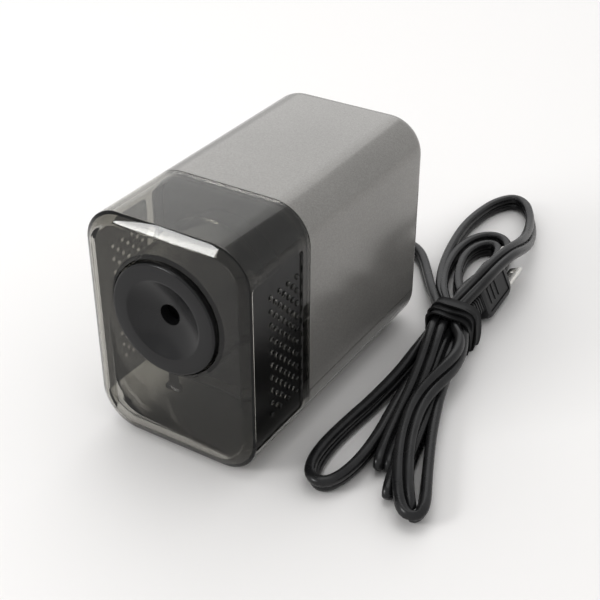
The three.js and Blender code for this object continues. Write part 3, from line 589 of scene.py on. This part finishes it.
join_or_cut(collar, block(
    "drop", (-15 * mm, front + 9 * mm, 0), (15 * mm, collar_back + mm, pencil_height - 10 * mm)))
join_or_cut(cap, collar, "UNION")
tab_back = interlock_low.y - 0.3 * mm
tab_z = interlock_axis[2]
join_or_cut(cap, block("tab", (interlock_axis[0] - 3 * mm, tab_back - 3 * mm, tab_z - 3 * mm),
                       (half_width - mm, tab_back, tab_z + 3 * mm)), "UNION")
rib_top = pencil_height - 25 * mm
join_or_cut(cap, block("rib", (-1.3 * mm, front + 1.5 * mm, rib_top - 8 * mm),
                       (1.3 * mm, front + 5 * mm, rib_top)), "UNION")
join_or_cut(cap, block("rib_foot", (-3.2 * mm, front + 1.5 * mm, rib_top - 9.5 * mm),
                       (3.2 * mm, front + 5 * mm, rib_top - 7.5 * mm)), "UNION")
opening = [(0, front - 5 * mm), (collar_inner + 0.3 * mm, front - 5 * mm), (collar_inner + 0.3 * mm, front),
           (collar_inner, front + 0.3 * mm), (collar_inner, front + 60 * mm), (0, front + 60 * mm)]
join_or_cut(cap, turned("opening", opening, axis, sides=128))


grip_floor = half_width - 0.8 * mm


def grip_recess(side):
    """A shallow recess with sloping walls and rounded corners, cut into one side wall."""
    y0, y1 = front + 3.5 * mm, front + 37 * mm
    z0, z1 = underside + 13 * mm, underside + 87 * mm
    radius = 1.2 * mm
    over_rim = 0.4 * mm
    verts, faces = [], []
    for x, grow in ((side * grip_floor, 0), (side * (half_width + over_rim), over_rim)):
        for cy, cz, start in ((y1, z1, 0), (y0, z1, 90), (y0, z0, 180), (y1, z0, 270)):
            inward_y = -radius if cy == y1 else radius
            inward_z = -radius if cz == z1 else radius
            for step in range(7):
                angle = math.radians(start + 15 * step)
                verts.append((x, cy + inward_y + (radius + grow) * math.cos(angle),
                              cz + inward_z + (radius + grow) * math.sin(angle)))
    count = len(verts) // 2
    for i in range(count):
        faces.append((i, (i + 1) % count, count + (i + 1) % count, count + i))
    faces.append(tuple(range(count)))
    faces.append(tuple(range(count, 2 * count)))
    mesh = bpy.data.meshes.new("recess")
    mesh.from_pydata(verts, [], faces)
    tidy_up(mesh)
    return add_piece("recess", mesh)


def grip_dots(side):
    """Low domes on a staggered lattice, sunk a little into the recess so that they join to it."""
    work = bmesh.new()
    pitch = 3 * mm
    dot_radius = 1.25 * mm
    dot_height = 0.85 * mm
    for column in range(7):
        for row in range(19):
            if (row + column) % 2:
                continue
            y = front + 16 * mm + column * pitch
            z = underside + 23 * mm + row * pitch
            rings = [(dot_radius, -0.3 * mm), (dot_radius, 0.05 * mm), (dot_radius * 0.86, dot_height * 0.55),
                     (dot_radius * 0.5, dot_height * 0.92)]
            loops = []
            for radius, lift in rings:
                x = side * (grip_floor + lift)
                loops.append([work.verts.new((x, y + radius * math.cos(math.pi * k / 6),
                                              z + radius * math.sin(math.pi * k / 6))) for k in range(12)])
            for inner, outer in zip(loops, loops[1:]):
                for k in range(12):
                    work.faces.new((inner[k], inner[(k + 1) % 12], outer[(k + 1) % 12], outer[k]))
            work.faces.new(loops[0])
            work.faces.new(loops[-1])
    bmesh.ops.recalc_face_normals(work, faces=work.faces)
    mesh = bpy.data.meshes.new("dots")
    work.to_mesh(mesh)
    work.free()
    return add_piece("dots", mesh)


for side in (-1, 1):
    join_or_cut(cap, grip_recess(side))
    join_or_cut(cap, grip_dots(side), "UNION")


def smoked_finish(name, clear, smoothest, roughest, shine):
    """Smoke-tinted styrene with faint rub marks: clear and polished at full strength, nearly black and dull
    where it stands for painted shade.
    """
    material, tree, shader = new_finish(name)
    rubs = texture_on(tree, "ShaderNodeTexNoise", 45, Detail=6).outputs["Fac"]
    dark = [part * clear for part in (0.46, 0.45, 0.42)]
    light = [part * clear for part in (0.51, 0.50, 0.465)]
    tint_between(tree, rubs, shader.inputs["Base Color"], dark, light)
    roughen(tree, shader, rubs, smoothest, roughest)
    shader.inputs["Specular IOR Level"].default_value = shine
    shader.inputs["Transmission Weight"].default_value = 1.0
    shader.inputs["IOR"].default_value = 1.5
    return material


sharpen(cap, 24)
cap.data.materials.append(smoked_finish("smoked_plastic", 1.0, 0.015, 0.05, 0.5))
cap.data.materials.append(smoked_finish("smoked_painted_shade", 0.05, 0.2, 0.3, 0.05))
# The grip recess floors and the receptacle's rear rim get the nearly black, dull, almost unreflective smoke.
# This is painted shade in the recesses and in the joint with the housing. The rib under the collar gets the
# same finish.
for polygon in cap.data.polygons:
    middle = polygon.center
    in_recess = abs(abs(middle.x) - grip_floor) < 0.05 * mm and abs(polygon.normal.x) > 0.99
    on_rib = (abs(middle.x) < 3.4 * mm and front + 1.9 * mm < middle.y < front + 5.1 * mm
              and rib_top - 9.6 * mm < middle.z < rib_top + 0.1 * mm)
    on_rim = middle.y > seam - 0.3 * mm
    if in_recess or on_rib or on_rim:
        polygon.material_index = 1
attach(cap, "receptacle")
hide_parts("receptacle")

# ---- Strain relief ----
# A tapered rubber sleeve with a few grooves, gripped in the back wall where the cord leaves.
exit_y = relief_high.y
sleeve = [(0, back - 4.9 * mm), (7 * mm, back - 4.9 * mm), (7 * mm, back - wall - 0.3 * mm),
          (4.6 * mm, back - wall - 0.3 * mm), (4.6 * mm, back + 0.3 * mm), (6.4 * mm, back + 0.3 * mm),
          (6.4 * mm, back + 1.7 * mm), (6.1 * mm, back + 2.1 * mm)]
rings = 5
for ring in range(rings):
    y = back + 3.2 * mm + ring * 3.6 * mm
    radius = 5.6 * mm - ring * 0.26 * mm
    sleeve += [(radius - 0.9 * mm, y), (radius - 0.9 * mm, y + 0.9 * mm), (radius, y + 1.2 * mm),
               (radius - 0.1 * mm, y + 3.4 * mm)]
sleeve += [(4.2 * mm, exit_y - 0.4 * mm), (3.9 * mm, exit_y), (0, exit_y)]
relief = turned("cord_relief", sleeve, (relief_x, 0, relief_z), sides=48)
sharpen(relief, 35)
relief.data.materials.append(rubber)
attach(relief, "housing")
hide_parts("strain_relief")

# ---- Cord ----
# Flat two-core cord in black vinyl, 8.4 by 4.2 mm. It leaves the back, comes round the right side and
# is folded into a hank of four front and three back loops, held by the tie, down to its plug.
# Each point is x, y, z in millimetres, then the degrees that the broad side is turned up from flat.
cord_width = 8.4 * mm
route = [
    (-16, 93.4, 18, 90), (-16, 100, 16.8, 90), (-14.2, 108, 12.6, 90), (-9.5, 116, 8.4, 90),
    (-2, 121.6, 5.4, 90), (6, 123, 4.5, 90), (14.4, 119.8, 4.4, 90), (21.8, 111.6, 4.4, 90),
    (28.8, 101.4, 4.6, 90), (35.8, 91.4, 5.6, 80), (42.6, 82.4, 7.4, 60), (49.6, 73.6, 9.2, 30),
    # first front loop
    (55.4, 65.4, 10.3, 6), (57.4, 58, 10.5, 0), (57.6, 48, 10.5, 20), (57.8, 36, 9.6, 50),
    (57.4, 24, 8.2, 76), (56.4, 10, 6.4, 84), (55, -6, 4.9, 80), (53.6, -22, 4.4, 80), (53.2, -38, 4.4, 74),
    (54.8, -50.4, 4.4, 66), (59, -58.2, 4.4, 62), (64, -58.4, 4.4, 64), (67.4, -50.8, 4.4, 70),
    (68.8, -38, 4.4, 78), (67.8, -22, 4.4, 84), (65.4, -6, 4.4, 88), (62.8, 12, 4.4, 90), (61, 28, 4.3, 70),
    (59.2, 44, 3.2, 30), (57.4, 58, 2.1, 0),
    # first back loop, the long one, coming back over the plug
    (54, 69, 2.4, 20), (48.6, 79, 3.6, 60), (42, 89, 4.5, 86), (36, 101.4, 4.5, 90), (30.8, 117, 4.4, 90),
    (26.6, 136, 4.4, 90), (24, 156, 4.4, 90), (24.6, 174, 4.4, 90), (27.6, 189, 4.4, 90),
    (34, 198.2, 4.6, 88), (42, 194.8, 5, 84), (50, 182.6, 6.2, 76), (56.6, 166.4, 8.8, 66),
    (61.8, 148, 13, 54), (64.8, 131, 18.6, 36), (65.6, 114, 23.6, 16), (65.2, 98, 25, 8), (64.6, 86, 24, 4),
    (62.4, 75, 20.6, 0), (59.6, 65.6, 16.4, 0), (57.5, 58, 14.8, 0),
    # second front loop, folded under
    (58.8, 50, 14.9, 0), (61.6, 39, 13.8, 4), (64.8, 26, 11.6, 8), (67.8, 12, 9.4, 12), (70.4, -2, 7.8, 14),
    (73, -15, 7, 14), (75.4, -26, 6.8, 12), (77.2, -33, 6.6, 8), (78.6, -37.4, 4.6, 2),
    (77.9, -34.4, 2.5, 0), (76, -26, 2.2, 0), (73.2, -12, 2.2, 0), (70.6, 2, 2.2, 0), (68, 17, 2.6, 0),
    (64.8, 33, 4, 0), (60.6, 48, 5.8, 0), (57.4, 58, 6.3, 0),
    # second back loop
    (54.2, 69, 6.4, 14), (48.8, 79, 6.2, 50), (42.8, 90, 5.2, 82), (37, 103.6, 4.5, 90),
    (33, 118.6, 4.4, 90), (31.8, 132.4, 4.4, 90), (33.8, 144.4, 4.4, 90), (38.6, 152, 4.4, 90),
    (44.6, 154, 4.4, 90), (50.4, 150.2, 4.4, 90), (54.6, 141, 4.4, 90), (56.8, 128, 4.4, 90),
    (57, 114, 4.8, 90), (56.8, 101, 5.8, 84), (57.2, 89, 7.4, 72), (58, 79.4, 9.2, 50),
    (60.4, 71, 10.3, 24), (63.8, 64, 10.5, 4), (65.7, 58, 10.5, 0),
    # third front loop, folded under
    (66.4, 49, 10.6, 0), (68.6, 37, 9.8, 4), (71.6, 23.4, 8.4, 8), (74.8, 9.6, 7.2, 10), (78, -4, 6.5, 10),
    (81.2, -17.6, 6.4, 8), (84.2, -30.6, 6.4, 6), (86.8, -41.6, 6.4, 4), (88.4, -47, 5.8, 2),
    (89.4, -50.2, 3.9, 0), (88.9, -47.4, 2.4, 0), (87, -40, 2.2, 0), (83.8, -27, 2.2, 0),
    (80.4, -13, 2.2, 0), (77, 1.6, 2.2, 0), (73.4, 17, 2.6, 0), (69.6, 33, 4.2, 0), (66.6, 48, 5.8, 0),
    (65.7, 58, 6.3, 0),
    # third back loop
    (62.6, 69.6, 6.4, 14), (57, 81, 6.2, 46), (50.2, 92.6, 5.4, 80), (43.8, 105, 4.6, 90),
    (39.2, 118, 4.4, 90), (37.4, 130, 4.4, 90), (39.4, 140.4, 4.4, 90), (44.6, 145.6, 4.4, 90),
    (49.4, 142, 4.4, 90), (51.8, 132, 4.4, 90), (52.4, 119.4, 4.8, 90), (52.6, 106, 6, 84),
    (53.8, 93, 8.8, 64), (57.4, 80, 12.4, 34), (62.2, 68, 14.6, 8), (65.8, 58, 14.8, 6),
    # fourth front loop, the top one, turned broad side up
    (69.6, 51.4, 14.6, 40), (73.4, 45, 14, 70), (75.6, 37, 13.4, 74), (76, 28, 13, 58),
    (75.4, 18, 12.6, 36), (74.8, 7, 12, 22), (76, -5, 11.2, 14), (79.4, -17.6, 10.7, 10),
    (83.8, -29.4, 10.4, 8), (88.8, -40, 10, 8), (93.6, -48.8, 9.2, 10), (97.6, -54.6, 7.4, 20),
    (101, -57, 5.4, 40), (103.2, -53, 4.6, 66), (101.4, -46, 4.4, 80), (97.2, -36, 4.4, 86),
    (92.4, -24.6, 4.4, 88), (87.4, -12.4, 4.4, 88), (82.6, 0.6, 4.4, 84), (77.6, 14.4, 4.4, 72),
    (72.6, 29.4, 3.8, 48), (68.4, 44, 2.8, 20), (65.7, 58, 2.2, 0),
    # up into the plug's neck
    (66.2, 63.5, 3, 20), (66.4, 68, 5.4, 62), (65.6, 72.4, 8.4, 100), (64.2, 76.6, 10.1, 114),
    (63.7, 79.4, 10.2, 115),
]


def smooth_through(points, gap):
    """A Catmull-Rom curve through the points, as places about one gap apart with their turn."""
    places = []
    for i in range(len(points) - 1):
        p0, p1 = points[max(i - 1, 0)], points[i]
        p2, p3 = points[i + 1], points[min(i + 2, len(points) - 1)]
        span = math.dist(p1[:3], p2[:3])
        count = max(2, round(span / gap))
        for step in range(count):
            t = step / count
            places.append([0.5 * (2 * p1[k] + (p2[k] - p0[k]) * t
                                  + (2 * p0[k] - 5 * p1[k] + 4 * p2[k] - p3[k]) * t * t
                                  + (3 * p1[k] - p0[k] - 3 * p2[k] + p3[k]) * t ** 3) for k in range(4)])
    places.append(list(points[-1]))
    return places


def flat_section(width):
    """Two moulded lobes side by side with a groove between them, half a width thick."""
    h = width / 4
    quarter = [(0.0, 0.3), (0.12, 0.42), (0.26, 0.86), (0.42, 1.0),
               (1.0, 1.04), (1.56, 0.98), (1.86, 0.74), (2.0, 0.3)]
    right_top = [(u * h, v * h) for u, v in quarter]
    right_bottom = [(u, -v) for u, v in right_top[::-1]]
    left_bottom = [(-u, -v) for u, v in right_top[1:]]
    left_top = [(-u, v) for u, v in right_top[:0:-1]]
    return right_top + right_bottom + left_bottom + left_top


def sweep(name, places, section):
    """Sweeps a section along places (metres, with a turn in degrees) and closes the ends."""
    mesh = bpy.data.meshes.new(name)
    verts, faces = [], []
    count = len(section)
    up = Vector((0, 0, 1))
    for i, place in enumerate(places):
        spot = Vector(place[:3])
        ahead = Vector(places[min(i + 1, len(places) - 1)][:3])
        behind = Vector(places[max(i - 1, 0)][:3])
        along = (ahead - behind).normalized()
        side = along.cross(up)
        if side.length < 0.3:
            side = last_side - last_side.dot(along) * along
        side.normalize()
        if i and side.dot(last_side) < 0:
            side = -side
        last_side = side
        above = side.cross(along).normalized()
        turn = math.radians(place[3])
        broad = math.cos(turn) * side + math.sin(turn) * above
        thin = along.cross(broad).normalized()
        verts += [tuple(spot + broad * u + thin * v) for u, v in section]
    for ring in range(len(places) - 1):
        for k in range(count):
            a, b = ring * count + k, ring * count + (k + 1) % count
            faces.append((a, b, b + count, a + count))
    faces.append(tuple(range(count)))
    faces.append(tuple(range((len(places) - 1) * count, len(places) * count)))
    mesh.from_pydata(verts, [], faces)
    tidy_up(mesh)
    return add_piece(name, mesh)


def ease_route(places):
    """Averages every inner place with its neighbours, which takes the small kinks out."""
    eased = []
    for trio in zip(places, places[1:], places[2:]):
        eased.append([(before + 2 * here + after) / 4 for before, here, after in zip(*trio)])
    return [places[0], *eased, places[-1]]


easings = 8
off_floor = 0.25 * mm
centres = smooth_through(route, gap=1.6)
for easing in range(easings):
    centres = ease_route(centres)
cord_places = []
for x, y, z, turn in centres:
    tilt = math.radians(turn)
    lowest = off_floor + cord_width / 2 * abs(math.sin(tilt)) + cord_width / 4 * abs(math.cos(tilt))
    cord_places.append([x * mm, y * mm, max(z * mm, lowest), turn])
cord = sweep("power_cord", cord_places, flat_section(cord_width))
sharpen(cord, 50)


def vinyl_finish():
    """Satin black vinyl with a soft bloom and handling marks."""
    material, tree, shader = new_finish("cord_vinyl")
    bloom = texture_on(tree, "ShaderNodeTexNoise", 130, Detail=6).outputs["Fac"]
    fine = texture_on(tree, "ShaderNodeTexNoise", 900).outputs["Fac"]
    dark, light = (0.011, 0.011, 0.012), (0.022, 0.022, 0.023)
    tint_between(tree, bloom, shader.inputs["Base Color"], dark, light, 0.3, 0.75)
    roughen(tree, shader, bloom, 0.22, 0.33)
    emboss(tree, shader, fine, 0.08, 0.3 * mm)
    return material


cord.data.materials.append(vinyl_finish())
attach(cord, "housing")
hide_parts("cord_lead", "cord_hank")

# ---- Cord tie ----
# A dull black strap wound round the hank nearly three times, each turn riding up on the last one.
# Its two ends narrow and lift a little off the turns.
bundle_x = 61.5 * mm
bundle_z = 8.6 * mm
bundle_half = 8.8 * mm
strap_width = 5.6 * mm
strap_thick = 0.8 * mm


def bundle_edge(angle, clear):
    """A point on a rounded square round the strands, that far outside them."""
    power = 4.5
    c, s = math.cos(angle), math.sin(angle)
    size = (bundle_half + clear) / (abs(c) ** power + abs(s) ** power) ** (1 / power)
    return size * c, size * s


def strap(name, start, turns, y_start, y_end, clear_start, clear_end, bow):
    """A length of strap wound round the bundle from one angle on, drifting along it as it goes."""
    mesh = bpy.data.meshes.new(name)
    steps = int(40 * turns)
    across = 6
    end_lift = 2.6 * mm
    verts, faces = [], []
    for i in range(steps + 1):
        share = i / steps
        angle = math.radians(start) + 2 * math.pi * turns * share
        clear = clear_start + (clear_end - clear_start) * share + 0.35 * mm * math.sin(3.7 * angle)
        y = y_start + (y_end - y_start) * share + bow * math.sin(2.1 * angle)
        narrow = min(1, 0.15 + 14 * min(share, 1 - share))
        clear += end_lift * (1 - narrow)
        for layer in (0, 1):
            for k in range(across + 1):
                part = k / across - 0.5
                curl = 0.7 * mm * (2 * part) ** 4
                x, z = bundle_edge(angle, clear + layer * strap_thick + curl)
                height = max(bundle_z + z, 0.15 * mm + layer * 0.2 * mm)
                verts.append((bundle_x + x, y + part * strap_width * narrow, height))
    row = 2 * (across + 1)
    for i in range(steps):
        for k in range(across):
            a = i * row + k
            faces.append((a, a + 1, a + row + 1, a + row))
            b = a + across + 1
            faces.append((b, b + row, b + row + 1, b + 1))
        for k in (0, across):
            a = i * row + k
            b = a + across + 1
            faces.append((a, a + row, b + row, b) if k == 0 else (a, b, b + row, a + row))
    for i in (0, steps):
        base = i * row
        for k in range(across):
            faces.append((base + k, base + k + 1, base + k + across + 2, base + k + across + 1))
    mesh.from_pydata(verts, [], faces)
    tidy_up(mesh)
    return add_piece(name, mesh)


tie_middle = 60.5 * mm
tie_strap = strap("tie_strap", -20, 2.62, tie_middle - 5.2 * mm, tie_middle + 4.6 * mm,
                  0.3 * mm, 2.0 * mm, 0.7 * mm)
sharpen(tie_strap, 40)
strap_finish = moulded_finish("tie_strap", (0.02, 0.02, 0.021), 0.55, grain=600, depth=0.2)
tie_strap.data.materials.append(strap_finish)
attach(tie_strap, "housing")
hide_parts("cord_tie")

# ---- Plug ----
# A moulded two-blade plug leaning on the hank, with a raised border round a ribbed grip on each
# broad side and a short grooved neck on the cord. The blades are nickel-plated brass.
plug_place = (Matrix.Translation(Vector((68, 75, 1.1)) * mm) @ Matrix.Rotation(math.radians(3), 4, "Z")
              @ Matrix.Rotation(math.radians(-25), 4, "Y"))


def rounded_bar(name, levels, radius, steps=6):
    """A bar along Y through rounded rectangles given as (y, half width in X, low z, high z)."""
    verts, faces = [], []
    for y, half, z0, z1 in levels:
        r = min(radius, half * 0.98, (z1 - z0) * 0.49)
        inner = half - r
        corners = ((inner, z1 - r, 0), (-inner, z1 - r, 90), (-inner, z0 + r, 180), (inner, z0 + r, 270))
        for cx, cz, start in corners:
            for step in range(steps + 1):
                angle = math.radians(start + 90 * step / steps)
                verts.append((cx + r * math.cos(angle), y, cz + r * math.sin(angle)))
    count = 4 * (steps + 1)
    for ring in range(len(levels) - 1):
        for i in range(count):
            a, b = ring * count + i, ring * count + (i + 1) % count
            faces.append((a, b, b + count, a + count))
    faces.append(tuple(range(count)))
    faces.append(tuple(range((len(levels) - 1) * count, len(levels) * count)))
    mesh = bpy.data.meshes.new(name)
    mesh.from_pydata(verts, [], faces)
    tidy_up(mesh)
    return add_piece(name, mesh)


def mm_levels(levels):
    """Levels written in millimetres, turned into metres."""
    return [tuple(part * mm for part in level) for level in levels]


body_levels = [
    (9.0, 3.4, 2.6, 17.5), (9.3, 3.9, 1.6, 18.5), (11, 4.3, 0.5, 19.6), (13, 4.4, 0.1, 20),
    (34, 4.4, 0.1, 20), (37, 4.3, 0.7, 19.4), (39, 4.0, 2.1, 18.0), (39.8, 3.6, 3.4, 16.7),
    (40, 3.2, 4.4, 15.7),
]
plug = rounded_bar("plug_moulding", mm_levels(body_levels), 2.4 * mm)
neck_levels = []
for ring in range(5):
    y = 0.2 + ring * 1.9
    grow = ring * 0.12
    groove = (2.5 + grow, 6.2 - grow, 13.8 + grow)
    ridge = (3.0 + grow, 5.6 - grow, 14.4 + grow)
    neck_levels += [(y, *groove), (y + 0.5, *groove), (y + 0.7, *ridge), (y + 1.7, *ridge)]
neck_levels.append((10.4, 3.6, 4.6, 15.4))
join_or_cut(plug, rounded_bar("neck", mm_levels(neck_levels), 2.2 * mm), "UNION")
for side in (-1, 1):
    panel_inner, panel_outer = sorted((side * 3.9 * mm, side * 5 * mm))
    join_or_cut(plug, block("panel", (panel_inner, 12 * mm, 3.2 * mm), (panel_outer, 36 * mm, 16.8 * mm)))
    rib_inner, rib_outer = sorted((side * 3.4 * mm, side * 4.3 * mm))
    for y in (15.5 * mm, 20 * mm, 24.5 * mm):
        rib = block("rib", (rib_inner, y, 6 * mm), (rib_outer, y + 1.4 * mm, 14 * mm))
        join_or_cut(plug, rib, "UNION")
plug.data.transform(plug_place)
sharpen(plug, 35)
plug_finish = moulded_finish("plug_black", (0.02, 0.02, 0.021), 0.38, grain=900, depth=0.06)
plug.data.materials.append(plug_finish)
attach(plug, "housing")
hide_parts("plug_body")

blade_plate = moulded_finish("blade_plate", (0.78, 0.77, 0.74), 0.25, grain=1800, depth=0.03,
                             spread=0.08, metal=1.0)
blade_names = ["plug_blade_lower", "plug_blade_upper"]
dress(blade_names, blade_plate)
